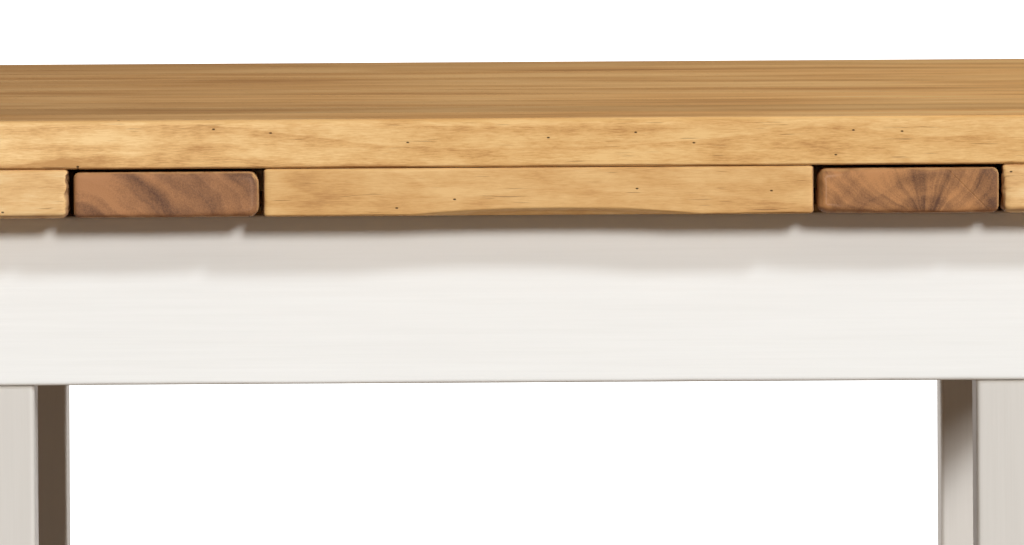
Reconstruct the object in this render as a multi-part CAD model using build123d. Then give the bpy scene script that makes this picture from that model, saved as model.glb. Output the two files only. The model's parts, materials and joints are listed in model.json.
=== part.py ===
"""Extending dining table: pine top on a painted frame, with a pull-out leaf carriage at each end.

Frame: millimetres, +Z up, origin on the floor under the middle of the top.  The table's length
runs along Y.  The front end faces -Y, and the back end is the front end turned half round.
"""
from math import sqrt
import os

from build123d import *

# ---- driving dimensions -------------------------------------------------------------------
LENGTH = 1400.0
WIDTH = 1000.0
HEIGHT = 760.0
TOP_THICKNESS = 32.0
LAYER_THICKNESS = 32.0        # strips, guides and runners between the top and the aprons
APRON_HEIGHT = 111.0
APRON_THICKNESS = 25.0
END_OVERHANG = 50.0
SIDE_OVERHANG = 67.5
LEG_SIDE = 120.0
LEG_SETBACK = 4.0             # leg faces behind the apron faces; legs are notched for the aprons
LEG_TOP_GAP = 4.0             # leg tops stay below the runner guides
LEG_CORNER_FLAT = 20.0        # inner corner of each leg, cut off for its brace
GLIDE_HEIGHT = 3.0
GLIDE_RADIUS = 22.0

# the row of pieces across the front end, from left to right
LEFT_LIP_END = -284.0
LEFT_RUNNER = (-281.0, -160.0)
CROSSBAR = (-157.0, 202.0)
RIGHT_RUNNER = (204.3, 323.0)
RIGHT_LIP_END = 324.2
LIP_DEPTH = 70.0
SIDE_STRIP_WIDTH = 130.0
STRIP_SCREWS_AT = 388.0

# pull-out carriage
TRAVEL = 400.0
RUNNER_THICKNESS = 29.7
RUNNER_FLOAT = 0.3            # gap under the runners, and between any two moving pieces
CROSSBAR_THICKNESS = 31.4
CROSSBAR_DEPTH = 36.0
TIE_WIDTH = 40.0
TIE_THICKNESS = 14.0
TIE_SETBACK = 6.0             # tie ends stop short of the runners' outer sides
CENTRE_GAP = 20.0             # runner ends to the middle of the table
PAD_RADIUS = 15.0
PAD_THICKNESS = 1.5
PAD_FROM_EDGE = 30.0          # pad centres to the edge of the top, when pulled out

# finger scoop in the crossbar's lower front edge
SCOOP_RADIUS = 8.2
SCOOP_FORWARD = 0.7           # scoop axis in front of the crossbar's face
SCOOP_DROP = 4.0              # scoop axis below the crossbar's underside
SCOOP_HALF_LENGTH = 134.0
SCOOP_CENTRE = 33.0           # to the right of the middle of the table

# guides and bearers for the runners
GUIDE_WIDTH = 40.0
GUIDE_PLAY = 0.6
BEARER_THICKNESS = 12.0
BEARER_WIDTH = 50.0
CENTRE_BEARER_WIDTH = 70.0
CENTRE_STOP_LENGTH = 300.0

# loose leaves, stored lengthways on slats inside the frame
LEAF_SPAN = WIDTH
LEAF_WIDTH = 400.0
LEAF_CLEAT_THICKNESS = 9.0
LEAF_CLEAT_WIDTH = 30.0
LEAF_CLEAT_LENGTH = 300.0
LEAF_CLEATS_AT = (-140.0, 184.0)
SLAT_THICKNESS = 12.0
SLAT_WIDTH = 60.0
SLAT_AT = 370.0
SLAT_CLEAT = (20.0, 60.0, 30.0)

# leg fixings
BRACE_THICKNESS = 25.0
BRACE_HEIGHTS = (608.0, 682.0)
BOLT_RADIUS = 4.0
BOLT_HEIGHTS = (629.0, 661.0)
BOLT_IN_LEG = 50.0
BOLT_TAIL = 16.0
WASHER = (9.0, 1.6)
NUT = (7.5, 6.5)

# bought fixings
SCREW_RADIUS = 2.0
SCREW_HEAD_RADIUS = 4.0
DOWEL_RADIUS = 5.0
DOWEL_IN_END_APRON = 14.0
DOWEL_IN_SIDE_APRON = 22.0
BRACKET = (30.0, 24.0, 2.0)   # width, leg length and thickness of a steel angle bracket

EASED = 1.5                   # ordinary hand-sanded edge
TOP_ROUNDING = 4.0

# ---- worked out ---------------------------------------------------------------------------
half_length = LENGTH / 2
half_width = WIDTH / 2
top_low = HEIGHT - TOP_THICKNESS
layer_low = top_low - LAYER_THICKNESS
apron_low = layer_low - APRON_HEIGHT
end_apron = (half_length - END_OVERHANG - APRON_THICKNESS, half_length - END_OVERHANG)
side_apron = (half_width - SIDE_OVERHANG - APRON_THICKNESS, half_width - SIDE_OVERHANG)
leg_x = (side_apron[1] - LEG_SETBACK - LEG_SIDE, side_apron[1] - LEG_SETBACK)
leg_y = (end_apron[1] - LEG_SETBACK - LEG_SIDE, end_apron[1] - LEG_SETBACK)
lip_inner = half_length - LIP_DEPTH
runner_low = layer_low + RUNNER_FLOAT
runner_top = runner_low + RUNNER_THICKNESS
tie_low = runner_top - TIE_THICKNESS
crossbar_back = -half_length + CROSSBAR_DEPTH
outer_tie_back = crossbar_back + TIE_WIDTH
rear_tie_front = -CENTRE_GAP - TIE_WIDTH
tie_x = (LEFT_RUNNER[0] + TIE_SETBACK, RIGHT_RUNNER[1] - TIE_SETBACK)
inner_guide_y = (outer_tie_back + 4.0, rear_tie_front - TRAVEL - RUNNER_FLOAT)
left_outer_guide = (LEFT_RUNNER[0] - GUIDE_PLAY - GUIDE_WIDTH, LEFT_RUNNER[0] - GUIDE_PLAY)
left_inner_guide = (LEFT_RUNNER[1] + GUIDE_PLAY, LEFT_RUNNER[1] + GUIDE_PLAY + GUIDE_WIDTH)
right_inner_guide = (RIGHT_RUNNER[0] - GUIDE_PLAY - GUIDE_WIDTH, RIGHT_RUNNER[0] - GUIDE_PLAY)
right_outer_guide = (RIGHT_RUNNER[1] + GUIDE_PLAY, RIGHT_RUNNER[1] + GUIDE_PLAY + GUIDE_WIDTH)
bearer_y = (rear_tie_front - TRAVEL - 10.0, rear_tie_front - TRAVEL - 10.0 + BEARER_WIDTH)
slat_low = apron_low + 1.0
slat_top = slat_low + SLAT_THICKNESS

parts = {}


def mid(span):
    """Middle of a (low, high) pair."""
    return (span[0] + span[1]) / 2


def board(x, y, z, ease=EASED):
    """A plank between the given low and high limits, every edge eased."""
    size = Box(x[1] - x[0], y[1] - y[0], z[1] - z[0])
    plank = Pos(mid(x), mid(y), mid(z)) * size
    return fillet(plank.edges(), ease) if ease else plank


def screw(length):
    """A countersunk wood screw along +Z, with its flat head at z = 0."""
    neck = SCREW_HEAD_RADIUS - SCREW_RADIUS
    outline = Polyline(
        (0, 0),
        (SCREW_HEAD_RADIUS, 0),
        (SCREW_RADIUS, neck),
        (SCREW_RADIUS, length - neck),
        (0, length),
        close=True,
    )
    return revolve(make_face(Plane.XZ * outline), Axis.Z)


def screws_up(length, z, places):
    """Countersunk screws driven upwards from height z at each (x, y)."""
    return [Pos(x, y, z) * screw(length) for x, y in places]


def screws_down(length, z, places):
    """Countersunk screws driven downwards from height z at each (x, y)."""
    return [Pos(x, y, z) * Rot(180, 0, 0) * screw(length) for x, y in places]


def turned(shape):
    """The same shape at the other end of the table, turned half round."""
    return Rot(0, 0, 180) * shape


def both_ends(shapes):
    """A list of shapes and their copies at the other end."""
    return list(shapes) + [turned(shape) for shape in shapes]


def mirrored(shape, sign_x, sign_y):
    """A shape made in the +X +Y quarter, placed in the quarter with the given signs."""
    if sign_x < 0:
        shape = mirror(shape, Plane.YZ)
    if sign_y < 0:
        shape = mirror(shape, Plane.XZ)
    return shape


def bored(shape, tools):
    """A piece with the places of its screws, dowels or bolts taken out."""
    for tool in tools:
        shape = shape - tool
    return shape


def keep(name, shape):
    """Store a sub-part: one solid, or a list of identical separate solids."""
    parts[name] = Compound(children=list(shape)) if isinstance(shape, list) else shape


def keep_both_ends(name, shape):
    """Store a sub-part for the front end and its copy for the back end."""
    keep("front_" + name, shape)
    other = [turned(one) for one in shape] if isinstance(shape, list) else turned(shape)
    keep("back_" + name, other)


# ---- fixings that other pieces are bored for ----------------------------------------------
def make_top_screws():
    """Screws up through the strips and guides into the top, for the front half."""
    lip_places = [(x, -half_length + 25.0) for x in (-470.0, -390.0, -310.0, 350.0, 412.0, 474.0)]
    outer_places = [
        (mid(guide), y)
        for guide in (left_outer_guide, right_outer_guide)
        for y in (-600.0, -400.0, -210.0, -60.0)
    ]
    inner_places = [
        (mid(guide), y)
        for guide in (left_inner_guide, right_inner_guide)
        for y in (inner_guide_y[0] + 25.0, inner_guide_y[1] - 25.0)
    ]
    side_places = [(x, y) for x in (-STRIP_SCREWS_AT, STRIP_SCREWS_AT) for y in (-560.0, -400.0, -200.0)]
    return screws_up(45.0, layer_low, lip_places + outer_places + inner_places + side_places)


def make_bearer_screws():
    """Screws up through the thin bearers into the guides and the centre stop."""
    guides = (mid(left_outer_guide), mid(right_outer_guide))
    places = [(x, mid(bearer_y) + dy) for x in guides for dy in (-12.0, 12.0)]
    places += [(x, -18.0) for x in guides]
    places += [(-100.0, 0.0)]
    return screws_up(35.0, layer_low - BEARER_THICKNESS, places)


def make_slat_screws():
    """Screws that hold the storage slats and their cleats, for one corner."""
    depth = SLAT_CLEAT[0]
    cleat_x = side_apron[0] - depth / 2
    up = screws_up(40.0, slat_low, [(cleat_x, SLAT_AT - 17.0), (cleat_x, SLAT_AT + 17.0)])
    across = Pos(side_apron[0] - depth, SLAT_AT, slat_top + SLAT_CLEAT[2] / 2) * Rot(0, 90, 0) * screw(38.0)
    return up + [across]


def make_apron_dowels():
    """Two dowels across one corner joint of the aprons."""
    length = DOWEL_IN_END_APRON + DOWEL_IN_SIDE_APRON
    centre_y = end_apron[0] + (DOWEL_IN_END_APRON - DOWEL_IN_SIDE_APRON) / 2
    dowel = chamfer((Rot(90, 0, 0) * Cylinder(DOWEL_RADIUS, length)).edges().group_by(Axis.Y)[0], 1.0)
    return [Pos(mid(side_apron), centre_y, z) * dowel for z in (apron_low + 30.0, layer_low - 30.0)]


corner_signs = [(-1, -1), (1, -1), (-1, 1), (1, 1)]
corner_names = ["front_left", "front_right", "back_left", "back_right"]
top_screws = both_ends(make_top_screws())
bearer_screws = both_ends(make_bearer_screws())
slat_screws = [mirrored(one, sx, sy) for sx, sy in corner_signs for one in make_slat_screws()]
dowels = [mirrored(one, sx, sy) for sx, sy in corner_signs for one in make_apron_dowels()]


# ---- top and the layer under it -----------------------------------------------------------
def make_table_top():
    """The pine top, rounded a little more above than below."""
    top = Pos(0, 0, mid((top_low, HEIGHT))) * Box(WIDTH, LENGTH, TOP_THICKNESS)
    top = fillet(top.edges().filter_by(Axis.Z), 6.0)
    top = fillet(top.faces().sort_by(Axis.Z)[-1].edges(), TOP_ROUNDING)
    top = fillet(top.faces().sort_by(Axis.Z)[0].edges(), EASED)
    return bored(top, top_screws)


def make_layer():
    """Strips round the edge of the top, and the guides that the runners slide between."""
    height = (layer_low, top_low)
    lip_y = (-half_length, -lip_inner)
    keep_both_ends("left_lip", bored(board((-half_width, LEFT_LIP_END), lip_y, height), top_screws[0:3]))
    keep_both_ends("right_lip", bored(board((RIGHT_LIP_END, half_width), lip_y, height), top_screws[3:6]))
    for name, sign in (("left_side_strip", -1), ("right_side_strip", 1)):
        span = sorted((sign * half_width, sign * (half_width - SIDE_STRIP_WIDTH)))
        near = [one for one in top_screws if abs(one.center().X - sign * STRIP_SCREWS_AT) < 1.0]
        keep(name, bored(board(span, (-lip_inner, lip_inner), height), near))
    near_bearer = bearer_screws[:len(bearer_screws) // 2]
    outer = [
        bored(board(left_outer_guide, (-lip_inner, -1.0), height), top_screws[6:10] + near_bearer),
        bored(board(right_outer_guide, (-lip_inner, -1.0), height), top_screws[10:14] + near_bearer),
    ]
    inner = [
        bored(board(left_inner_guide, inner_guide_y, height), top_screws[14:16]),
        bored(board(right_inner_guide, inner_guide_y, height), top_screws[16:18]),
    ]
    keep_both_ends("outer_guides", outer)
    keep_both_ends("inner_guides", inner)


def make_bearers():
    """Thin slats that carry the runners from below, and the stop between the two carriages."""
    height = (layer_low - BEARER_THICKNESS, layer_low)
    span = (left_outer_guide[0], right_outer_guide[1])
    keep_both_ends("runner_bearer", bored(board(span, bearer_y, height), bearer_screws))
    reach = right_outer_guide[1]
    half = CENTRE_BEARER_WIDTH / 2
    keep("centre_bearer", bored(board((-reach, reach), (-half, half), height), bearer_screws))
    stop_y = CENTRE_GAP - RUNNER_FLOAT
    stop_x = CENTRE_STOP_LENGTH / 2
    stop = board((-stop_x, stop_x), (-stop_y, stop_y), (layer_low, top_low))
    keep("centre_stop", bored(stop, bearer_screws))


# ---- painted frame ------------------------------------------------------------------------
def make_aprons():
    """Two end aprons across the width, two side aprons butted and dowelled between them."""
    height = (apron_low, layer_low)
    outer = side_apron[1]
    for name, sign in (("front_end_apron", -1), ("back_end_apron", 1)):
        span = sorted((sign * end_apron[0], sign * end_apron[1]))
        keep(name, bored(board((-outer, outer), span, height, 2.5), dowels))
    for name, sign in (("left_side_apron", -1), ("right_side_apron", 1)):
        span = sorted((sign * side_apron[0], sign * side_apron[1]))
        apron = board(span, (-end_apron[0], end_apron[0]), height, 0)
        apron = fillet(apron.edges().filter_by(Axis.Y), 2.5)
        keep(name, bored(apron, dowels + slat_screws))


def diagonal_cut(offset):
    """A block that covers everything beyond the diagonal plane x + y = offset."""
    reach = 400.0
    corner = Pos(offset / 2, offset / 2, HEIGHT / 2) * Rot(0, 0, 45)
    return corner * Pos(reach / 2, 0, 0) * Box(reach, 2 * reach, HEIGHT)


leg_flat = leg_x[0] + leg_y[0] + LEG_CORNER_FLAT
bolt_foot = Vector(leg_x[0] + LEG_CORNER_FLAT / 2, leg_y[0] + LEG_CORNER_FLAT / 2, 0)


def along_diagonal(distance, z):
    """Location on a leg bolt's axis, +Z pointing into the leg, distance beyond the leg's flat."""
    step = distance / sqrt(2)
    return Pos(bolt_foot.X + step, bolt_foot.Y + step, z) * Rot(0, 0, 45) * Rot(0, 90, 0)


def make_corner():
    """Leg, brace and bolts of the +X +Y corner: name to solid or list of solids."""
    length = BOLT_TAIL + BRACE_THICKNESS + BOLT_IN_LEG
    centre = BOLT_IN_LEG - length / 2
    bolt = Cylinder(BOLT_RADIUS, length)
    bolt = chamfer(bolt.edges().filter_by(GeomType.CIRCLE), 1.0)
    bolts = [along_diagonal(centre, z) * bolt for z in BOLT_HEIGHTS]

    washer = Cylinder(WASHER[0], WASHER[1]) - Cylinder(BOLT_RADIUS, WASHER[1])
    washer_at = -BRACE_THICKNESS - WASHER[1] / 2
    washers = [along_diagonal(washer_at, z) * washer for z in BOLT_HEIGHTS]

    nut = extrude(RegularPolygon(NUT[0], 6), NUT[1] / 2, both=True)
    nut = nut - Cylinder(BOLT_RADIUS, NUT[1])
    nut_at = -BRACE_THICKNESS - WASHER[1] - NUT[1] / 2
    nuts = [along_diagonal(nut_at, z) * nut for z in BOLT_HEIGHTS]

    leg = board(leg_x, leg_y, (GLIDE_HEIGHT, layer_low - LEG_TOP_GAP), 4.0)
    inner_corner = Pos(0, 0, BRACE_HEIGHTS[0] - 8.0) * Box(
        leg_flat, leg_flat * 2, HEIGHT, align=(Align.MIN, Align.MIN, Align.MIN))
    leg = leg - (inner_corner - diagonal_cut(leg_flat))
    for notch_at in ((side_apron[0], 0, apron_low), (0, end_apron[0], apron_low)):
        leg = leg - Pos(*notch_at) * Box(LENGTH, LENGTH, HEIGHT, align=(Align.MIN, Align.MIN, Align.MIN))
    leg = bored(leg, bolts)

    near = leg_flat - BRACE_THICKNESS * sqrt(2)
    plan = Polyline(
        (side_apron[0], near - side_apron[0]),
        (side_apron[0], leg_flat - side_apron[0]),
        (leg_flat - end_apron[0], end_apron[0]),
        (near - end_apron[0], end_apron[0]),
        close=True,
    )
    brace = Pos(0, 0, BRACE_HEIGHTS[0]) * extrude(make_face(plan), BRACE_HEIGHTS[1] - BRACE_HEIGHTS[0])
    brace = bored(brace, bolts)

    screw_x = leg_flat - end_apron[0] - 10.0
    screw_y = leg_flat - side_apron[0] - 10.0
    low, high = BRACE_HEIGHTS[0] + 16.0, BRACE_HEIGHTS[1] - 16.0
    brace_screws = []
    for z in (low, high):
        head_y = near - screw_x + 8.0
        head_x = near - screw_y + 8.0
        brace_screws.append(Pos(screw_x, head_y, z) * Rot(-90, 0, 0) * screw(end_apron[1] - head_y - 5.0))
        brace_screws.append(Pos(head_x, screw_y, z) * Rot(0, 90, 0) * screw(side_apron[1] - head_x - 5.0))
        pocket = Cylinder(SCREW_HEAD_RADIUS, 40.0, align=(Align.CENTER, Align.CENTER, Align.MAX))
        brace = brace - Pos(screw_x, head_y, z) * Rot(-90, 0, 0) * pocket
        brace = brace - Pos(head_x, screw_y, z) * Rot(0, 90, 0) * pocket
    brace = bored(brace, brace_screws)

    glide = Pos(mid(leg_x), mid(leg_y), 0) * Cylinder(
        GLIDE_RADIUS, GLIDE_HEIGHT, align=(Align.CENTER, Align.CENTER, Align.MIN))
    return {
        "leg": leg,
        "brace": brace,
        "bolts": bolts,
        "washers": washers,
        "nuts": nuts,
        "screws": brace_screws,
        "glide": glide,
    }


def make_corners():
    """All four corners, with the aprons bored for the brace screws."""
    corner = make_corner()
    groups = {"bolts": [], "washers": [], "nuts": [], "screws": [], "glides": []}
    for name, (sx, sy) in zip(corner_names, corner_signs):
        keep(name + "_leg", mirrored(corner["leg"], sx, sy))
        keep(name + "_brace", mirrored(corner["brace"], sx, sy))
        for group in ("bolts", "washers", "nuts", "screws"):
            groups[group] += [mirrored(one, sx, sy) for one in corner[group]]
        groups["glides"].append(mirrored(corner["glide"], sx, sy))
    for name in ("front_end_apron", "back_end_apron", "left_side_apron", "right_side_apron"):
        parts[name] = bored(parts[name], groups["screws"])
    keep("leg_hanger_bolts", groups["bolts"])
    keep("leg_bolt_washers", groups["washers"])
    keep("leg_bolt_nuts", groups["nuts"])
    keep("brace_screws", groups["screws"])
    keep("foot_glides", groups["glides"])


def make_brackets():
    """Steel angle brackets that hold the side strips, and so the top, down to the side aprons."""
    width, reach, thick = BRACKET
    outline = Polyline(
        (0, 0),
        (-reach, 0),
        (-reach, -thick),
        (-thick, -thick),
        (-thick, -reach),
        (0, -reach),
        close=True,
    )
    bracket = extrude(make_face(Plane.XZ * outline), width / 2, both=True)
    brackets = []
    fixings = []
    for sign in (-1, 1):
        for y in (-250.0, 0.0, 250.0):
            corner = Pos(side_apron[0], y, layer_low)
            up = corner * Pos(-reach * 0.6, 0, -thick) * screw(22.0)
            across = corner * Pos(-thick, 0, -reach * 0.6) * Rot(0, 90, 0) * screw(20.0)
            body = bored(corner * bracket, [up, across])
            brackets.append(mirrored(body, sign, 1))
            fixings += [mirrored(up, sign, 1), mirrored(across, sign, 1)]
    keep("top_brackets", brackets)
    keep("bracket_screws", fixings)
    for name in ("left_side_strip", "right_side_strip", "left_side_apron", "right_side_apron"):
        parts[name] = bored(parts[name], fixings)


# ---- pull-out carriages -------------------------------------------------------------------
def make_scoop():
    """Cutter for the finger scoop: a long spindle that fades out towards its ends."""
    arc = ThreePointArc((-SCOOP_HALF_LENGTH, 0), (0, SCOOP_RADIUS), (SCOOP_HALF_LENGTH, 0))
    closing = Line((SCOOP_HALF_LENGTH, 0), (-SCOOP_HALF_LENGTH, 0))
    spindle = revolve(make_face([arc, closing]), Axis.X)
    return Pos(SCOOP_CENTRE, -half_length - SCOOP_FORWARD, runner_low - SCOOP_DROP) * spindle


def make_carriage():
    """Two runners, the crossbar that one pulls, and two ties let into the runners."""
    height = (runner_low, runner_top)
    length = (-half_length, -CENTRE_GAP)
    crossbar_height = (runner_low, runner_low + CROSSBAR_THICKNESS)
    crossbar = board(CROSSBAR, (-half_length, crossbar_back), crossbar_height) - make_scoop()

    tie_height = (tie_low, runner_top)
    outer_tie = board(tie_x, (crossbar_back, outer_tie_back), tie_height, 0)
    rear_tie = board(tie_x, (rear_tie_front, -CENTRE_GAP), tie_height, 0)
    both = (LEFT_RUNNER, RIGHT_RUNNER)
    runners = [board(span, length, height, 2.0) - outer_tie - rear_tie for span in both]

    joints = [
        (mid(runner) + dx, y)
        for runner in both
        for dx in (-28.0, 28.0)
        for y in (mid((crossbar_back, outer_tie_back)), mid((rear_tie_front, -CENTRE_GAP)))
    ]
    fixings = screws_down(22.0, runner_top, joints)
    tie_middle = mid(tie_height)
    fixings += [
        Pos(mid(CROSSBAR) + dx, outer_tie_back, tie_middle) * Rot(90, 0, 0) * screw(TIE_WIDTH + 22.0)
        for dx in (-140.0, -50.0, 50.0, 140.0)
    ]
    pad = Cylinder(PAD_RADIUS, PAD_THICKNESS, align=(Align.CENTER, Align.CENTER, Align.MIN))
    pad_y = -half_length - PAD_FROM_EDGE + TRAVEL
    pads = [Pos(mid(runner), pad_y, runner_top) * pad for runner in both]

    keep_both_ends("left_runner", bored(runners[0], fixings[0:4]))
    keep_both_ends("right_runner", bored(runners[1], fixings[4:8]))
    keep_both_ends("crossbar", bored(crossbar, fixings[8:]))
    keep_both_ends("outer_tie", bored(outer_tie, fixings))
    keep_both_ends("rear_tie", bored(rear_tie, fixings))
    keep_both_ends("carriage_screws", fixings)
    keep_both_ends("leaf_pads", pads)


# ---- loose leaves and their storage -------------------------------------------------------
def make_leaf(low, sign):
    """A leaf lying face down and lengthways: its panel and the cleats that drop between runners."""
    across = (-LEAF_WIDTH / 2, LEAF_WIDTH / 2)
    along = (-LEAF_SPAN / 2, LEAF_SPAN / 2)
    panel = board(across, along, (low, low + TOP_THICKNESS), 3.0)
    half = LEAF_CLEAT_LENGTH / 2
    height = (low + TOP_THICKNESS, low + TOP_THICKNESS + LEAF_CLEAT_THICKNESS)
    cleats = []
    for place in LEAF_CLEATS_AT:
        y = sign * place
        cleats.append(board((-half, half), (y - LEAF_CLEAT_WIDTH / 2, y + LEAF_CLEAT_WIDTH / 2), height))
    return panel, cleats


def make_leaves():
    """Two leaves stacked on the slats, one for each end."""
    low = slat_top + RUNNER_FLOAT
    step = TOP_THICKNESS + LEAF_CLEAT_THICKNESS + RUNNER_FLOAT
    for name, level, sign in (("lower", 0, 1), ("upper", 1, -1)):
        panel, cleats = make_leaf(low + level * step, sign)
        keep(name + "_leaf_panel", panel)
        keep(name + "_leaf_cleats", cleats)


def make_slats():
    """Two slats across the frame that the leaves lie on, and the cleats that hold the slats."""
    for name, sign in (("front_leaf_slat", -1), ("back_leaf_slat", 1)):
        span = sorted((sign * (SLAT_AT - SLAT_WIDTH / 2), sign * (SLAT_AT + SLAT_WIDTH / 2)))
        slat = board((-side_apron[0], side_apron[0]), span, (slat_low, slat_top))
        keep(name, bored(slat, slat_screws))
    thick, wide, high = SLAT_CLEAT
    cleat = board(
        (side_apron[0] - thick, side_apron[0]),
        (SLAT_AT - wide / 2, SLAT_AT + wide / 2),
        (slat_top, slat_top + high),
    )
    keep("slat_cleats", [bored(mirrored(cleat, sx, sy), slat_screws) for sx, sy in corner_signs])


keep("table_top", make_table_top())
make_layer()
make_bearers()
make_aprons()
make_slats()
make_corners()
make_brackets()
make_carriage()
make_leaves()
keep("top_screws", top_screws)
keep("bearer_screws", bearer_screws)
keep("slat_screws", slat_screws)
keep("apron_dowels", dowels)

os.makedirs("parts", exist_ok=True)
for part_name, part_shape in parts.items():
    export_step(part_shape, "parts/" + part_name + ".step")
print(len(parts), "sub-parts written")
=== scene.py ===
"""The looks of the extending dining table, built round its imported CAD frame.

Metres, +Z up.  The front end faces -Y.  Boards that show are rebuilt as finely divided meshes
with hand-worn edges, and every wood, paint, metal and felt surface has its own node material.
"""
import json
import math

import bpy
import numpy as np
from mathutils import Matrix, Vector


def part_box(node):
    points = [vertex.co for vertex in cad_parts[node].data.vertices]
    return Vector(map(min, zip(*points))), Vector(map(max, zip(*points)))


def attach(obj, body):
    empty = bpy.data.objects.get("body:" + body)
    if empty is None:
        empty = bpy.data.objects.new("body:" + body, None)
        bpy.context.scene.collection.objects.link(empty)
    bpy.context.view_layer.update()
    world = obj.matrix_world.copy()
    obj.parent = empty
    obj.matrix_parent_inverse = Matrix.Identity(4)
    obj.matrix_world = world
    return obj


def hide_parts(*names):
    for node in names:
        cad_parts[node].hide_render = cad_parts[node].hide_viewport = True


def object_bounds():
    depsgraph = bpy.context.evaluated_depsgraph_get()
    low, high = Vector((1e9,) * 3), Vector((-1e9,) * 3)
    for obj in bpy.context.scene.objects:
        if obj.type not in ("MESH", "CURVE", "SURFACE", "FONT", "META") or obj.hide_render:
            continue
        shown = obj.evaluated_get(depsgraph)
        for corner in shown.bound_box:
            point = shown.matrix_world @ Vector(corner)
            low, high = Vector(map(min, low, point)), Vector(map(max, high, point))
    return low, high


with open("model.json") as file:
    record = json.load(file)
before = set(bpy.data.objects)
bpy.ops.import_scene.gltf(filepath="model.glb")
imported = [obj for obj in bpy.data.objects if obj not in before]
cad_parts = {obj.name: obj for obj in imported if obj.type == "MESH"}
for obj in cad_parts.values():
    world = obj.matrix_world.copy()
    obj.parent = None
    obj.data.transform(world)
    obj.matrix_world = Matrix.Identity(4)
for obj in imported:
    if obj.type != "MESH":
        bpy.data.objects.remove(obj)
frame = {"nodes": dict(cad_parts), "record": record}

cad_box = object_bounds()
MM = 0.001
behaviour = frame["record"]["behaviour"]
body_of_node = {node: body for body, nodes in behaviour["bodies"].items() for node in nodes}

# ---- repeatable noise for the meshes -------------------------------------------------------


def lattice(cells, seed):
    """A repeatable random number from 0 to 1 for each whole-number cell."""
    mixed = cells[:, 0] * 73856093 ^ cells[:, 1] * 19349663 ^ cells[:, 2] * 83492791
    mixed = mixed ^ (seed * 2654435 + 97)
    mixed = (mixed ^ (mixed >> 13)) * 1274126177 & 0x7FFFFFFF
    return ((mixed ^ (mixed >> 15)) & 0xFFFFFF) / float(0xFFFFFF)


def noise(points, size, seed):
    """Smooth noise from 0 to 1. size is how far apart its bumps are along each axis."""
    scaled = points / np.asarray(size, float)
    cells = np.floor(scaled).astype(np.int64)
    part = scaled - cells
    part = part * part * (3.0 - 2.0 * part)
    total = np.zeros(len(points))
    for corner in range(8):
        step = np.array([corner & 1, corner >> 1 & 1, corner >> 2 & 1])
        weight = np.prod(np.where(step, part, 1.0 - part), axis=1)
        total += weight * lattice(cells + step, seed)
    return total


def rough(points, size, seed):
    """Two layers of noise, the second half as large and half as strong."""
    size = np.asarray(size, float)
    return (noise(points, size, seed) * 2.0 + noise(points, size / 2.1, seed + 31)) / 3.0


# ---- boards --------------------------------------------------------------------------------
X, Y, Z = 0, 1, 2
EDGE_STEPS = np.array([0.0, 0.12, 0.28, 0.48, 0.72, 1.0, 1.5])  # grid lines over an edge, in radii
LONG_SIDE = 150.0             # sides longer than this have the full grid pitch
SHORT_SIDE_PITCH = 0.45       # how fine the grid is on shorter sides, against the full pitch
EDGE_TILT = 0.29              # how far the outward direction's largest part falls below 1 on an edge
DENTS = (14.0, 70.0)          # spacing of dents and of changes in an edge's radius: across, along
FIBRES = (2.6, 55.0)          # spacing of raised fibres across and along the grain
WAVES = (40.0, 160.0)         # spacing of the broad unevenness across and along the grain


def corners_mm(node):
    """Lowest and highest corner of a CAD node in millimetres."""
    return [np.array(corner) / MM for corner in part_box(node)]


def stops(low, high, radius, pitch, extra=()):
    """Grid lines across a board: close together over its edges, evenly spaced between."""
    edge = radius * EDGE_STEPS
    inner_low, inner_high = low + edge[-1], high - edge[-1]
    count = max(2, int(round((inner_high - inner_low) / pitch)) + 1)
    middle = np.linspace(inner_low, inner_high, count)
    lines = np.concatenate([low + edge[:-1], middle, high - edge[:-1], extra])
    return np.unique(np.round(lines, 7))


def shell(xs, ys, zs):
    """Vertices and quads of a closed box with grid lines at the given places."""
    number = np.full((len(xs), len(ys), len(zs)), -1)
    outside = np.zeros(number.shape, bool)
    for axis in range(3):
        for end in (0, -1):
            outside[tuple(end if a == axis else slice(None) for a in range(3))] = True
    number[outside] = np.arange(outside.sum())
    i, j, k = np.nonzero(outside)
    vertices = np.stack([xs[i], ys[j], zs[k]], axis=1)
    quads = []
    for axis in range(3):
        for end in (0, -1):
            ids = np.take(number, end, axis)
            corners = [ids[:-1, :-1], ids[1:, :-1], ids[1:, 1:], ids[:-1, 1:]]
            quad = np.stack(corners, axis=-1).reshape(-1, 4)
            quads.append(quad[:, ::-1] if (end == 0) != (axis == 1) else quad)
    return vertices, np.concatenate(quads)


def rounded(vertices, low, high, radii):
    """Box vertices moved onto rounded edges, and the direction outwards at each."""
    centre, half = (low + high) / 2.0, (high - low) / 2.0
    local = vertices - centre
    core = np.clip(local, -(half - radii), half - radii)
    away = (local - core) / radii
    unit = away / np.linalg.norm(away, axis=1, keepdims=True)
    outward = unit / radii
    outward /= np.linalg.norm(outward, axis=1, keepdims=True)
    return centre + core + unit * radii, outward


def make_mesh(name, vertices, quads, arris):
    """A smooth-shaded mesh object that carries how near each point is to an edge."""
    mesh = bpy.data.meshes.new(name)
    mesh.from_pydata(vertices.tolist(), [], quads.tolist())
    mesh.attributes.new("arris", "FLOAT", "POINT").data.foreach_set("value", arris.astype(np.float32))
    mesh.polygons.foreach_set("use_smooth", [True] * len(mesh.polygons))
    mesh.update()
    made = bpy.data.objects.new(name, mesh)
    bpy.context.scene.collection.objects.link(made)
    return made


def along_grain(sizes, grain):
    """Sizes along X, Y and Z from a size across the grain and one along it."""
    across, along = sizes
    return np.array([along if axis == grain else across for axis in range(3)])


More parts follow.
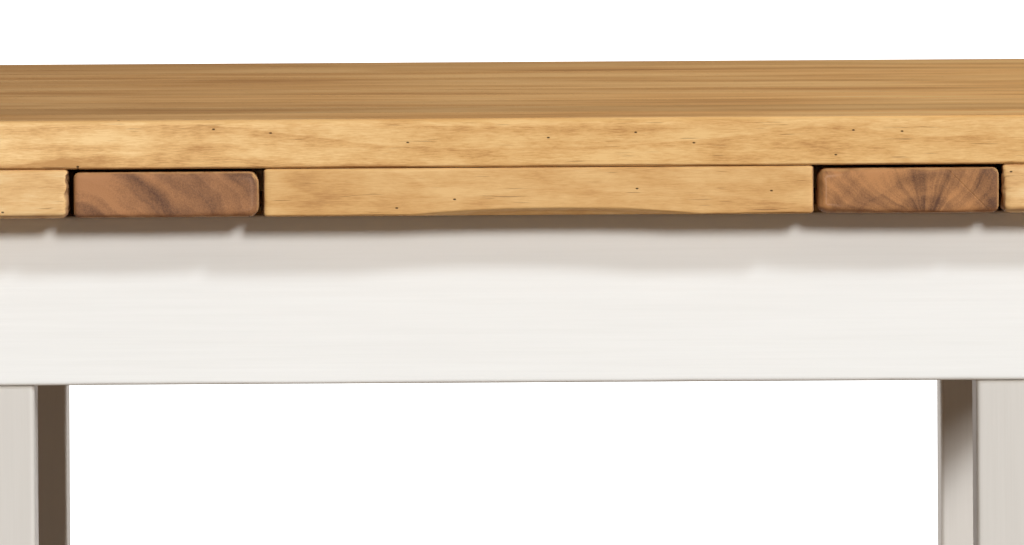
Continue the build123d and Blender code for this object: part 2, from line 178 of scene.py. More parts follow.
def board(node, material, grain=0, radius=3.0, pitch=6.0, seed=1, wear=0.6, relief=0.12,
          radii=None, extra=((), (), ()), shape=None):
    """A worn board in the place of a CAD node. Lengths in millimetres, grain is the grain's axis.

    wear is how deep the dents along its edges are, relief how deep its raised grain is.  radii
    gives a radius along each axis at each vertex, where the edges aren't all alike, and shape
    may move the finished vertices.
    """
    low, high = corners_mm(node)
    coarse = [a == grain or high[a] - low[a] > LONG_SIDE for a in range(3)]
    pitches = [pitch if coarse[a] else pitch * SHORT_SIDE_PITCH for a in range(3)]
    lines = [stops(low[a], high[a], radius, pitches[a], extra[a]) for a in range(3)]
    vertices, quads = shell(*lines)
    spacing = along_grain(DENTS, grain)
    size = radius * (0.65 + 0.7 * rough(vertices, spacing, seed))
    size = np.repeat(size[:, None], 3, axis=1)
    if radii is not None:
        size = size / radius * radii(vertices)
    size = np.minimum(size, (high - low) * 0.45)
    vertices, outward = rounded(vertices, low, high, size)
    arris = np.clip((1.0 - np.abs(outward).max(axis=1)) / EDGE_TILT, 0.0, 1.0)
    dents = np.clip(rough(vertices, spacing * 0.6, seed + 7) * 2.2 - 1.25, 0.0, 1.0)
    fibres = rough(vertices, along_grain(FIBRES, grain), seed + 3)
    waves = rough(vertices, along_grain(WAVES, grain), seed + 5)
    inward = relief * (0.6 * fibres + 0.7 * waves)
    inward += wear * dents * arris
    vertices = vertices - outward * inward[:, None]
    if shape is not None:
        vertices, arris = shape(vertices, arris)
    made = make_mesh(node + "_board", vertices * MM, quads, arris)
    made.data.materials.append(material)
    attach(made, body_of_node[node])
    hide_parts(node)
    return made


# ---- node graphs ---------------------------------------------------------------------------
class Graph:
    """One material's node tree, with short calls for the nodes that the materials use."""

    def __init__(self, name):
        self.material = bpy.data.materials.new(name)
        self.material.use_nodes = True
        self.tree = self.material.node_tree
        self.tree.nodes.clear()
        self.output = self.tree.nodes.new("ShaderNodeOutputMaterial")
        self.shader = self.tree.nodes.new("ShaderNodeBsdfPrincipled")
        self.tree.links.new(self.shader.outputs["BSDF"], self.output.inputs["Surface"])

    def put(self, socket, value):
        """Links a socket to another node's output, or sets it to a plain value."""
        if isinstance(value, bpy.types.NodeSocket):
            self.tree.links.new(value, socket)
        else:
            socket.default_value = value

    def math(self, operation, *values, clamp=False):
        node = self.tree.nodes.new("ShaderNodeMath")
        node.operation = operation
        node.use_clamp = clamp
        for socket, value in zip(node.inputs, values):
            self.put(socket, value)
        return node.outputs[0]

    def vector(self, operation, *values, scale=None):
        node = self.tree.nodes.new("ShaderNodeVectorMath")
        node.operation = operation
        for socket, value in zip(node.inputs, values):
            self.put(socket, value)
        if scale is not None:
            self.put(node.inputs["Scale"], scale)
        return node.outputs["Value" if operation in ("LENGTH", "DOT_PRODUCT") else "Vector"]

    def split(self, vector):
        node = self.tree.nodes.new("ShaderNodeSeparateXYZ")
        self.put(node.inputs[0], vector)
        return node.outputs[0], node.outputs[1], node.outputs[2]

    def join(self, x, y, z):
        node = self.tree.nodes.new("ShaderNodeCombineXYZ")
        for socket, value in zip(node.inputs, (x, y, z)):
            self.put(socket, value)
        return node.outputs[0]

    def noise(self, vector, scale=1.0, detail=3.0, roughness=0.55, distortion=0.0):
        node = self.tree.nodes.new("ShaderNodeTexNoise")
        self.put(node.inputs["Vector"], vector)
        node.inputs["Scale"].default_value = scale
        node.inputs["Detail"].default_value = detail
        node.inputs["Roughness"].default_value = roughness
        node.inputs["Distortion"].default_value = distortion
        return node.outputs[0]

    def span(self, value, low, high, to_low=0.0, to_high=1.0, smooth=False):
        """value from low..high to to_low..to_high, clamped."""
        node = self.tree.nodes.new("ShaderNodeMapRange")
        node.clamp = True
        if smooth:
            node.interpolation_type = "SMOOTHSTEP"
        limits = {"From Min": low, "From Max": high, "To Min": to_low, "To Max": to_high}
        for key, number in limits.items():
            self.put(node.inputs[key], number)
        self.put(node.inputs["Value"], value)
        return node.outputs["Result"]

    def mix_value(self, factor, first, second):
        """first where factor is 0, second where it is 1."""
        return self.math("MULTIPLY_ADD", factor, second - first, first)

    def ramp(self, value, colour_stops):
        node = self.tree.nodes.new("ShaderNodeValToRGB")
        elements = node.color_ramp.elements
        while len(elements) < len(colour_stops):
            elements.new(0.5)
        for element, (place, colour) in zip(elements, colour_stops):
            element.position = place
            element.color = (*colour, 1.0)
        self.put(node.inputs["Fac"], value)
        return node.outputs["Color"]

    def mix(self, factor, first, second, blend="MIX"):
        node = self.tree.nodes.new("ShaderNodeMix")
        node.data_type = "RGBA"
        node.blend_type = blend
        node.clamp_factor = True
        colours = [socket for socket in node.inputs if socket.type == "RGBA"]
        self.put(node.inputs[0], factor)
        for socket, value in zip(colours, (first, second)):
            self.put(socket, (*value, 1.0) if isinstance(value, tuple) else value)
        return [socket for socket in node.outputs if socket.type == "RGBA"][0]

    def bump(self, height, strength, distance):
        node = self.tree.nodes.new("ShaderNodeBump")
        node.inputs["Strength"].default_value = strength
        node.inputs["Distance"].default_value = distance
        self.put(node.inputs["Height"], height)
        return node.outputs[0]

    def arris(self):
        """How near the point is to an edge of its board, from 0 to 1."""
        node = self.tree.nodes.new("ShaderNodeAttribute")
        node.attribute_name = "arris"
        return node.outputs["Fac"]

    def place(self, output="Object"):
        node = self.tree.nodes.new("ShaderNodeTexCoord")
        return node.outputs[output]

    def along(self, grain, offset=(0.0, 0.0, 0.0)):
        """Millimetres along the grain, and the two directions across it, as three sockets."""
        metres = self.vector("ADD", self.place(), offset)
        parts = self.split(self.vector("SCALE", metres, scale=1.0 / MM))
        order = {X: (X, Y, Z), Y: (Y, X, Z), Z: (Z, X, Y)}[grain]
        return [parts[axis] for axis in order]

    def stretched(self, sockets, sizes):
        """A noise vector from three sockets, each divided by its size in millimetres."""
        return self.join(*[self.math("DIVIDE", socket, size) for socket, size in zip(sockets, sizes)])


PIN_BROWN = (0.045, 0.022, 0.010)
CHECK_BROWN = (0.20, 0.095, 0.040)
RUBBED_WAX = (0.80, 0.48, 0.18)
RUBBED_END = (0.46, 0.25, 0.13)
# wax gathered on the lower edges, also standing in as painted shade there
GATHERED_WAX_AND_SHADE = (0.19, 0.072, 0.026)
# a painted highlight on the rounding of a runner's end
RIM_HIGHLIGHT = (0.60, 0.34, 0.20)
PIN_CELL = (66.0, 38.0)       # one speck in each cell of this length and width
FACE_UP = (0.55, 0.92)        # upward part of the normal where the edges' painted light gives way to the upper face's


def pine(name, grain, seed, pith=(90.0, -160.0), ring=7.0, contrast=1.6, broad=1.0, staves=None,
         light=(0.790, 0.490, 0.205), dark=(0.470, 0.226, 0.072), painted_light_tints=None,
         end=((0.52, 0.30, 0.14), (0.30, 0.15, 0.07)), bands=(30.0, 0.5), rays=0.3,
         slope=(0.0, 0.0), rim_highlight=None, roughness=0.5, gloss=0.2):
    """Honey-waxed pine as a solid texture: rings round a pith, fibres, clouds and pin specks.

    pith is where the tree's middle lies across the grain, and ring the ring spacing, both in
    millimetres.  staves are glued-up staves, each with its own pith and tone.  tones holds painted
    light for the edges and the broad upper face, lighter or darker along X: a colour at -X, one at
    +X, and where between the change lies.
    end holds the end grain's light and dark colours, bands the width and strength of its broad
    bands, rays the strength of its rays, and slope how fast it darkens per 100 mm from a place
    across the board.  rim is a place across the board and the direction beyond it where a pale
    line of painted highlight marks the start of the rounding, and how pale that highlight is.
    """
    g = Graph(name)
    length, first, second = g.along(grain)
    normal = g.place("Normal")
    up = g.split(normal)[2]
    # painted light: colours that make the edges and the upper face lighter or darker along X
    if painted_light_tints:
        face = g.span(up, *FACE_UP, smooth=True)
        edge_painted_light, face_painted_light = [g.mix(g.span(length, *reach), *painted_light_tint) for *painted_light_tint, reach in painted_light_tints]
    if staves:
        from_start = g.math("ADD", first, staves["start"])
        number = g.math("FLOOR", g.math("DIVIDE", from_start, staves["width"]))
        white = g.tree.nodes.new("ShaderNodeTexWhiteNoise")
        white.noise_dimensions = "1D"
        g.put(white.inputs["W"], g.math("ADD", number, float(seed)))
        luck = white.outputs["Value"]
        other_luck = g.math("FRACT", g.math("MULTIPLY", luck, 37.0))
        local = g.math("SUBTRACT", first, g.math("MULTIPLY", number, staves["width"]))
        first_pith = g.math("SUBTRACT", local, g.math("MULTIPLY_ADD", luck, 260.0, -760.0 + pith[0]))
        second_pith = g.math("SUBTRACT", second, g.math("MULTIPLY_ADD", other_luck, 120.0, pith[1]))
        length = g.math("ADD", length, g.math("MULTIPLY", luck, 4000.0))
    else:
        first_pith = g.math("SUBTRACT", first, pith[0])
        second_pith = g.math("SUBTRACT", second, pith[1])
    length = g.math("ADD", length, seed * 731.0)
    solid = (length, first, second)
    warp = g.noise(g.stretched(solid, (320.0, 60.0, 60.0)), detail=2.0)
    other_warp = g.noise(g.stretched((length, second, first), (260.0, 45.0, 45.0)), detail=2.0)
    du = g.math("ADD", first_pith, g.math("MULTIPLY_ADD", warp, 34.0, -17.0))
    dv = g.math("ADD", second_pith, g.math("MULTIPLY_ADD", other_warp, 34.0, -17.0))
    radius = g.math("SQRT", g.math("ADD", g.math("MULTIPLY", du, du), g.math("MULTIPLY", dv, dv)))
    rings = g.math("FRACT", g.math("DIVIDE", radius, ring))
    darkening = g.span(rings, 0.30, 0.88, smooth=True)
    late = g.math("MULTIPLY", darkening, g.span(rings, 1.0, 0.90, smooth=True))
    fibre = g.noise(g.stretched(solid, (9.0, 0.8, 0.8)), detail=4.0, roughness=0.7)
    streak = g.noise(g.stretched(solid, (190.0, 5.0, 5.0)), detail=3.0, roughness=0.6)
    sweep = g.noise(g.stretched(solid, (620.0, 52.0, 52.0)), detail=3.0, roughness=0.6)
    cloud = g.noise(g.stretched(solid, (50.0, 19.0, 19.0)), detail=5.0, roughness=0.62)

    ringed = 0.17 * contrast
    layers = [(streak, 0.55), (sweep, 0.85 * broad), (fibre, 0.90), (cloud, 1.25)]
    if painted_light_tints:
        soft = g.noise(g.stretched((length, first, 0.0), (230.0, 74.0, 1.0)), detail=2.0, roughness=0.5,
                       distortion=0.3)
        ringed = g.mix_value(face, 0.17 * contrast, 0.06 * contrast)
        layers = [(streak, g.mix_value(face, 0.60, 0.08)), (sweep, g.mix_value(face, 0.30, 0.08)),
                  (fibre, g.mix_value(face, 1.10, 0.25)), (cloud, g.mix_value(face, 1.25, 0.35)),
                  (soft, g.mix_value(face, 0.15, 1.40))]
    value = g.math("MULTIPLY_ADD", late, ringed, 0.34)
    for part, strength in layers:
        swing = g.math("MULTIPLY_ADD", part, 2.0, -1.0)
        value = g.math("MULTIPLY_ADD", swing, g.math("MULTIPLY", strength, contrast / 2), value)
    value = g.math("MAXIMUM", g.math("MINIMUM", value, 1.0), 0.0)
    middle = tuple((a + b) / 2 * t for a, b, t in zip(light, dark, (1.06, 1.03, 0.96)))
    colour = g.ramp(value, [(0.0, light), (0.5, middle), (1.0, dark)])
    if staves:
        shade = g.span(luck, 0.0, 1.0, 0.86, 1.08)
        colour = g.mix(1.0, colour, g.join(shade, shade, shade), "MULTIPLY")
    # the painted light of the edges and the upper face, multiplied over the wood
    if painted_light_tints:
        colour = g.mix(1.0, colour, g.mix(face, edge_painted_light, face_painted_light), "MULTIPLY")

    # pin specks and short dark checks that follow the grain
    flat = g.math("ADD", first, second)
    cells = g.tree.nodes.new("ShaderNodeTexVoronoi")
    cells.voronoi_dimensions = "2D"
    cells.inputs["Scale"].default_value = 1.0
    cell_length, cell_width = PIN_CELL
    place = g.join(g.math("DIVIDE", length, cell_length), g.math("DIVIDE", flat, cell_width), 0.0)
    g.put(cells.inputs["Vector"], place)
    pins = g.span(cells.outputs["Distance"], 0.010, 0.018, 1.0, 0.0)
    check = g.noise(g.stretched((length, flat, 0.0), (46.0, 1.9, 1.0)), detail=2.0)
    check = g.span(check, 0.668, 0.712)
    colour = g.mix(g.math("MULTIPLY", pins, 0.9), colour, PIN_BROWN)
    colour = g.mix(g.math("MULTIPLY", check, 0.45), colour, CHECK_BROWN)

    # end grain drinks more stain, and shows broad bands, rings and rays
    axis = [0.0, 0.0, 0.0]
    axis[grain] = 1.0
    ending = g.math("ABSOLUTE", g.vector("DOT_PRODUCT", normal, tuple(axis)))
    ending = g.span(ending, 0.50, 0.85, smooth=True)
    angle = g.math("ARCTAN2", dv, du)
    fan = g.join(g.math("MULTIPLY", angle, 7.0), g.math("DIVIDE", radius, 110.0), 0.0)
    ray = g.noise(fan, detail=4.0)
    pores = g.noise(g.stretched(solid, (3.0, 1.0, 1.0)), detail=4.0, roughness=0.75)
    band_width, band_strength = bands
    band = g.join(g.math("DIVIDE", radius, band_width), g.math("DIVIDE", angle, 1.5), 0.5)
    band = g.span(g.noise(band, detail=2.5, distortion=0.25), 0.36, 0.64, -0.5, 0.5)
    ring_stain = g.math("MULTIPLY_ADD", late, 0.08, 0.44)
    stain = g.math("ADD", g.math("MULTIPLY", band, band_strength), ring_stain)
    stain = g.math("ADD", stain, g.math("MULTIPLY_ADD", ray, rays * 2.6, -rays * 1.3))
    stain = g.math("ADD", stain, g.math("MULTIPLY_ADD", pores, 1.3, -0.65))
    stain = g.math("ADD", stain, g.math("MULTIPLY_ADD", cloud, 0.6, -0.3))
    slope_rate, slope_start = slope
    beyond = g.math("SUBTRACT", first, slope_start)
    stain = g.math("ADD", stain, g.math("MULTIPLY", beyond, slope_rate / 100.0))
    stain = g.math("MAXIMUM", g.math("MINIMUM", stain, 1.0), 0.0)
    colour = g.mix(ending, colour, g.ramp(stain, [(0.0, end[0]), (1.0, end[1])]))

    # edges: rubbed pale where they face up or out; darker where they face down, partly wax gathered
    # underneath and partly painted shade
    edge = g.arris()
    rub = g.noise(g.stretched(solid, (38.0, 12.0, 12.0)), detail=3.0)
    pale = g.math("MULTIPLY", g.math("MULTIPLY", edge, g.span(rub, 0.36, 0.62)),
                  g.span(up, -0.40, 0.0, 0.10, g.mix_value(ending, 0.55, 0.12)))
    under = g.math("MULTIPLY", g.math("MULTIPLY", edge, g.span(rub, 0.66, 0.40, 0.45, 1.0)),
                   g.span(up, -0.10, -0.50, 0.0, 0.85))
    colour = g.mix(pale, colour, g.mix(ending, RUBBED_WAX, RUBBED_END))
    colour = g.mix(under, colour, GATHERED_WAX_AND_SHADE)
    # rim: a painted highlight, a pale line where the end grain starts to round over on one side
    if rim_highlight:
        rim_place, rim_direction, rim_strength = rim_highlight
        start = g.math("MULTIPLY", g.span(edge, 0.02, 0.06), g.span(edge, 0.20, 0.10))
        beyond = g.math("MULTIPLY", g.math("SUBTRACT", first, rim_place), rim_direction)
        start = g.math("MULTIPLY", start, g.math("MULTIPLY", ending, g.span(beyond, 0.0, 12.0)))
        colour = g.mix(g.math("MULTIPLY", start, rim_strength), colour, RIM_HIGHLIGHT)
    g.put(g.shader.inputs["Base Color"], colour)

    shine = g.math("MULTIPLY_ADD", cloud, 0.30, roughness - 0.15)
    shine = g.math("ADD", shine, g.math("MULTIPLY", ending, 0.14))
    g.put(g.shader.inputs["Roughness"], g.math("ADD", shine, g.math("MULTIPLY", pins, 0.3), clamp=True))
    g.shader.inputs["Specular IOR Level"].default_value = gloss
    height = g.math("MULTIPLY_ADD", late, 0.35, g.math("MULTIPLY", fibre, 0.65))
    height = g.math("ADD", height, g.math("MULTIPLY", ending, g.math("MULTIPLY", pores, 1.2)))
    height = g.math("SUBTRACT", height, g.math("MULTIPLY", g.math("MAXIMUM", pins, check), 2.2))
    g.put(g.shader.inputs["Normal"], g.bump(height, 0.45, 0.35 * MM))
    return g.material


PAINT_LOW = (0.848, 0.828, 0.790)
PAINT_HIGH = (0.908, 0.890, 0.855)
LEG_PAINTED_SHADE = (0.750, 0.715, 0.680)   # painted shade: the legs' paint is darker than the aprons' to stand in for the shade on the legs
PAINT_DIRT = (0.62, 0.56, 0.48)
BARE_WOOD = (0.50, 0.36, 0.20)


def paint(name, grain, seed, painted_light_tint=(1.0, 1.0, 1.0)):
    """Off-white satin paint brushed along a board, with faint grain showing through it."""
    g = Graph(name)
    solid = g.along(grain, (seed * 0.37, seed * 0.21, seed * 0.53))
    brush = g.noise(g.stretched(solid, (95.0, 1.5, 1.5)), detail=4.0, roughness=0.6)
    swell = g.noise(g.stretched(solid, (240.0, 22.0, 22.0)), detail=3.0)
    grainy = g.noise(g.stretched(solid, (150.0, 6.0, 6.0)), detail=2.0, distortion=0.4)
    value = g.math("ADD", g.math("MULTIPLY", brush, 0.45), g.math("MULTIPLY", swell, 0.35))
    value = g.math("ADD", value, g.math("MULTIPLY", grainy, 0.3), clamp=True)
    # tint darkens the paint; on the legs this is painted shade
    low = tuple(c * t for c, t in zip(PAINT_LOW, painted_light_tint))
    high = tuple(c * t for c, t in zip(PAINT_HIGH, painted_light_tint))
    colour = g.ramp(value, [(0.30, low), (0.75, high)])
    edge = g.arris()
    rub = g.noise(g.stretched(solid, (30.0, 9.0, 9.0)), detail=4.0)
    worn = g.math("MULTIPLY", g.math("MULTIPLY", edge, g.span(rub, 0.40, 0.75)), 0.30)
    colour = g.mix(worn, colour, PAINT_DIRT)
    chips = g.math("MULTIPLY", g.span(edge, 0.55, 0.95), g.span(rub, 0.735, 0.76))
    colour = g.mix(chips, colour, BARE_WOOD)
    g.put(g.shader.inputs["Base Color"], colour)
    g.put(g.shader.inputs["Roughness"], g.math("MULTIPLY_ADD", brush, 0.22, 0.36))
    g.shader.inputs["Specular IOR Level"].default_value = 0.4
    height = g.math("ADD", g.math("MULTIPLY", brush, 0.5), g.math("MULTIPLY", grainy, 0.6))
    height = g.math("SUBTRACT", height, g.math("MULTIPLY", chips, 1.2))
    g.put(g.shader.inputs["Normal"], g.bump(height, 0.35, 0.3 * MM))
    return g.material


def zinc(name):
    """Zinc-plated steel: faint spangle, yellowed patches and turning marks."""
    g = Graph(name)
    solid = g.along(X)
    patch = g.noise(g.stretched(solid, (5.0, 5.0, 5.0)), detail=4.0)
    fine = g.noise(g.stretched(solid, (0.6, 0.6, 0.6)), detail=2.0)
    dull, bright, yellowed = (0.50, 0.50, 0.49), (0.63, 0.62, 0.58), (0.55, 0.50, 0.36)
    colour = g.ramp(patch, [(0.3, dull), (0.55, bright), (0.8, yellowed)])
    g.put(g.shader.inputs["Base Color"], colour)
    g.shader.inputs["Metallic"].default_value = 1.0
    g.put(g.shader.inputs["Roughness"], g.math("MULTIPLY_ADD", fine, 0.25, 0.26))
    g.put(g.shader.inputs["Normal"], g.bump(fine, 0.25, 0.1 * MM))
    return g.material


def felt(name):
    """Pressed wool felt: matted fibres and a soft sheen."""
    g = Graph(name)
    solid = g.along(X)
    fuzz = g.noise(g.stretched(solid, (0.7, 0.7, 0.7)), detail=5.0, roughness=0.75)
    mottled = g.noise(g.stretched(solid, (4.0, 4.0, 4.0)), detail=3.0)
    value = g.math("ADD", g.math("MULTIPLY", fuzz, 0.7), g.math("MULTIPLY", mottled, 0.4), clamp=True)
    colour = g.ramp(value, [(0.3, (0.055, 0.050, 0.045)), (0.8, (0.15, 0.135, 0.12))])
    g.put(g.shader.inputs["Base Color"], colour)
    g.shader.inputs["Roughness"].default_value = 0.95
    g.shader.inputs["Sheen Weight"].default_value = 0.4
    g.put(g.shader.inputs["Normal"], g.bump(fuzz, 0.6, 0.4 * MM))
    return g.material


def glide_plastic(name):
    """Moulded nylon glides, scuffed by the floor."""
    g = Graph(name)
    scuffs = g.noise(g.stretched(g.along(X), (14.0, 1.2, 3.0)), detail=4.0)
    colour = g.ramp(scuffs, [(0.35, (0.022, 0.020, 0.019)), (0.75, (0.085, 0.080, 0.075))])
    g.put(g.shader.inputs["Base Color"], colour)
    g.put(g.shader.inputs["Roughness"], g.math("MULTIPLY_ADD", scuffs, 0.4, 0.35))
    g.put(g.shader.inputs["Normal"], g.bump(scuffs, 0.2, 0.2 * MM))
    return g.material


# ---- the pieces that show ------------------------------------------------------------------
ENDS = ("front", "back")
CORNERS = [f"{end}_{side}" for end in ENDS for side in ("left", "right")]
TOP_STAVES = 10
LEAF_STAVES = 3
JOINT_LINES = (-1.6, -0.7, 0.0, 0.7, 1.6)   # grid lines across each V joint
JOINT_WIDTH = 2.6
JOINT_DEPTH = 0.28
TORN_LENGTH = 5.0             # how far from a lip's sawn end its fibres are broken
TORN_DEPTH = 3.2
LIP_TONES = {"light": (0.875, 0.600, 0.295), "dark": (0.605, 0.325, 0.125)}
RUNNER_TONES = {"light": (0.560, 0.310, 0.140), "dark": (0.330, 0.155, 0.062)}
WORN_SIDE = 60.0              # from a runner's middle to the side where its edges are worn round
WORN_REACH = 42.0             # how far across the runner that wear reaches


def make_top():
    """The top: staves that run across the table, glued side by side, with faint V joints."""
    low, high = corners_mm("table_top")
    width = (high[Y] - low[Y]) / TOP_STAVES
    joints = [low[Y] + width * n for n in range(1, TOP_STAVES)]
    lines = [joint + step for joint in joints for step in JOINT_LINES]
    # painted light: the top's edges are made lighter towards -X and its upper face lighter towards +X
    painted_light_tints = (((1.23, 1.37, 1.62), (1.03, 1.05, 1.06), (-400.0, -20.0)),
             ((0.93, 0.84, 0.79), (1.39, 1.31, 1.21), (-400.0, 400.0)))
    material = pine("honey_pine_top", X, 3, pith=(0.0, 620.0), ring=8.0, painted_light_tints=painted_light_tints,
                    staves={"start": -low[Y], "width": width}, gloss=0.12)

    def grooves(vertices, arris):
        nearest = np.abs(vertices[:, Y, None] - np.array(joints)).min(axis=1)
        upper = vertices[:, Z] > (low[Z] + high[Z]) / 2
        depth = JOINT_DEPTH * np.clip(1.0 - nearest / (JOINT_WIDTH / 2), 0.0, 1.0)
        vertices[:, Z] -= np.where(upper, depth, -depth)
        return vertices, arris

    def radii(vertices):
        upper = vertices[:, Z] > (low[Z] + high[Z]) / 2
        return np.where(upper, 4.4, 2.2)[:, None] * np.ones(3)

    board("table_top", material, X, radius=3.4, pitch=7.0, seed=3, wear=0.7,
          relief=0.10, radii=radii, extra=((), lines, ()), shape=grooves)


def lip_radii(vertices):
    """Lips are rounder below than above."""
    middle = (vertices[:, Z].min() + vertices[:, Z].max()) / 2
    return np.where(vertices[:, Z] < middle, 5.4, 3.2)[:, None] * np.ones(3)


def make_strips():
    """Lips at the ends and strips along the sides, under the top."""
    for seed, corner in enumerate(CORNERS, 20):
        node = corner + "_lip"
        low, high = corners_mm(node)
        inner = high[X] if abs(high[X]) < abs(low[X]) else low[X]
        middle = (low[X] + high[X]) / 2

        def ragged(vertices, arris, inner=inner, middle=middle, seed=seed):
            """The sawn end beside the runner has broken fibres along it."""
            torn = rough(vertices, (40.0, 5.0, 3.2), seed + 9) ** 2 * TORN_DEPTH
            near = np.clip(1.0 - np.abs(vertices[:, X] - inner) / TORN_LENGTH, 0.0, 1.0)
            vertices[:, X] += np.sign(middle - inner) * torn * near
            return vertices, arris

        pith = (seed * 37.0 % 90, 560.0)
        material = pine("honey_pine_" + node, X, seed, pith=pith, ring=6.5, **LIP_TONES)
        board(node, material, X, radius=2.6, pitch=3.0, seed=seed, wear=1.0,
              radii=lip_radii, shape=ragged)
    for seed, node in enumerate(("left_side_strip", "right_side_strip"), 30):
        material = pine("honey_pine_" + node, Y, seed, pith=(80.0, 620.0), ring=7.5)
        board(node, material, Y, radius=2.2, pitch=8.0, seed=seed, wear=0.6)


def left_runner_look(middle, bottom, turn):
    """Rings that sweep across the end from a pith far to one side."""
    # rim: a faint painted highlight on the rounding at the worn side of the end
    return {"pith": (middle - turn * 110.0, bottom - 95.0), "bands": (30.0, 1.30), "rays": 0.06,
            "slope": (0.55 * turn, middle - turn * 40.0), "rim_highlight": (middle + turn * 42.0, turn, 0.13),
            "end": ((0.46, 0.212, 0.090), (0.122, 0.057, 0.034))}


def right_runner_look(middle, bottom, turn):
    """Rays that fan up from a pith just below the end."""
    # rim: a painted highlight on the rounding at the worn side of the end
    return {"pith": (middle + turn * 12.0, bottom - 16.0), "bands": (40.0, 0.80), "rays": 0.76,
            "slope": (0.26 * turn, middle + turn * 34.0), "rim_highlight": (middle - turn * 40.0, -turn, 0.38),
            "end": ((0.52, 0.240, 0.092), (0.130, 0.058, 0.031))}


def make_runners():
    """The four runners: dark end grain, rounded ends that differ from left to right."""
    for seed, corner in enumerate(CORNERS, 40):
        node = corner + "_runner"
        low, high = corners_mm(node)
        middle = (low[X] + high[X]) / 2
        turn = 1.0 if node.startswith("front") else -1.0
        if "left" in node:
            look = left_runner_look(middle, low[Z], turn)
            plain, large = np.array([(4.4, 3.0, 4.0), (7.5, 5.0, 8.0)])
            worn = middle + turn * WORN_SIDE
        else:
            look = right_runner_look(middle, low[Z], turn)
            plain, large = np.array([(4.4, 3.2, 4.2), (7.0, 8.0, 7.0)])
            worn = middle - turn * WORN_SIDE
        name = "runner_pine_" + node
        material = pine(name, Y, seed, ring=9.0, roughness=0.52, **look, **RUNNER_TONES)

        def radii(vertices, worn=worn, plain=plain, large=large):
            """The edges are much rounder at one side of the runner, where it is worn."""
            near = np.clip(1.0 - np.abs(vertices[:, X] - worn) / WORN_REACH, 0.0, 1.0)[:, None]
            near = near * near * (3.0 - 2.0 * near)
            return plain + (large - plain) * near

        board(node, material, Y, radius=3.0, pitch=5.0, seed=seed, wear=0.8, radii=radii)


SCOOP = {"radius": 8.2, "forward": 0.7, "drop": 4.0, "half_length": 134.0, "centre": 33.0}


def make_crossbars():
    """Crossbars with the finger scoop worked into their lower outer edge."""
    for seed, end in enumerate(ENDS, 50):
        node = end + "_crossbar"
        turn = 1.0 if node.startswith("front") else -1.0
        low, high = corners_mm(node)
        material = pine("honey_pine_" + node, X, seed, pith=(20.0, 540.0), ring=6.5, contrast=1.3)

        def scoop(vertices, arris, turn=turn, low=low, high=high):
            """Lifts the underside onto the scoop's hollow, and squeezes the wood above it."""
            along = (vertices[:, X] * turn - SCOOP["centre"]) / SCOOP["half_length"]
            hollow = SCOOP["radius"] * np.clip(1.0 - along ** 2, 0.0, 1.0)
            behind = vertices[:, Y] - low[Y] if turn > 0 else high[Y] - vertices[:, Y]
            back = behind + SCOOP["forward"]
            lift = np.sqrt(np.clip(hollow ** 2 - back ** 2, 0.0, None)) - SCOOP["drop"]
            lift = np.clip(lift, 0.0, None)
            height = high[Z] - low[Z]
            vertices[:, Z] = low[Z] + lift + (vertices[:, Z] - low[Z]) * (height - lift) / height
            arris = arris * (1.0 - 0.75 * np.clip(hollow / SCOOP["radius"], 0.0, 1.0))
            return vertices, arris

        def radii(vertices):
            return np.tile((3.6, 2.2, 1.8), (len(vertices), 1))

        board(node, material, X, radius=1.9, pitch=2.6, seed=seed, wear=0.7,
              radii=radii, shape=scoop)


def make_leaves():
    """The two stored leaves."""
    for seed, node in enumerate(("lower_leaf_panel", "upper_leaf_panel"), 60):
        low, high = corners_mm(node)
        material = pine("honey_pine_" + node, Y, seed, pith=(0.0, 620.0), ring=8.0, broad=1.3,
                        staves={"start": -low[X], "width": (high[X] - low[X]) / LEAF_STAVES})
        board(node, material, Y, radius=3.0, pitch=10.0, seed=seed, wear=0.5)


def make_painted():
    """Aprons and legs in off-white paint, the legs' paint darkened as painted shade. The legs are
    notched for the aprons at the top.
    """
    for seed, end in enumerate(ENDS, 70):
        node = end + "_end_apron"
        material = paint("white_paint_" + node, X, seed)
        board(node, material, X, radius=2.6, pitch=6.0, seed=seed, wear=0.25, relief=0.10)
    for seed, node in enumerate(("left_side_apron", "right_side_apron"), 74):
        material = paint("white_paint_" + node, Y, seed)
        board(node, material, Y, radius=2.2, pitch=8.0, seed=seed, wear=0.25, relief=0.10)
    shoulder = corners_mm("front_end_apron")[0][Z]
    inside = (corners_mm("right_side_apron")[0][X], corners_mm("back_end_apron")[0][Y])
    for seed, corner in enumerate(CORNERS, 80):
        node = corner + "_leg"

        def notch(vertices, arris):
            """Above the shoulder the leg stays behind the aprons."""
            upper = vertices[:, Z] > shoulder - 0.05
            for axis, limit in zip((X, Y), inside):
                kept = np.clip(vertices[:, axis], -limit + 0.1, limit - 0.1)
                vertices[:, axis] = np.where(upper, kept, vertices[:, axis])
            return vertices, arris

        # the legs' darker paint is painted shade
        material = paint("white_paint_" + node, Z, seed, LEG_PAINTED_SHADE)
        board(node, material, Z, radius=3.2, pitch=8.0, seed=seed, wear=0.5, relief=0.12,
              extra=((), (), (shoulder - 0.2, shoulder + 0.2)), shape=notch)


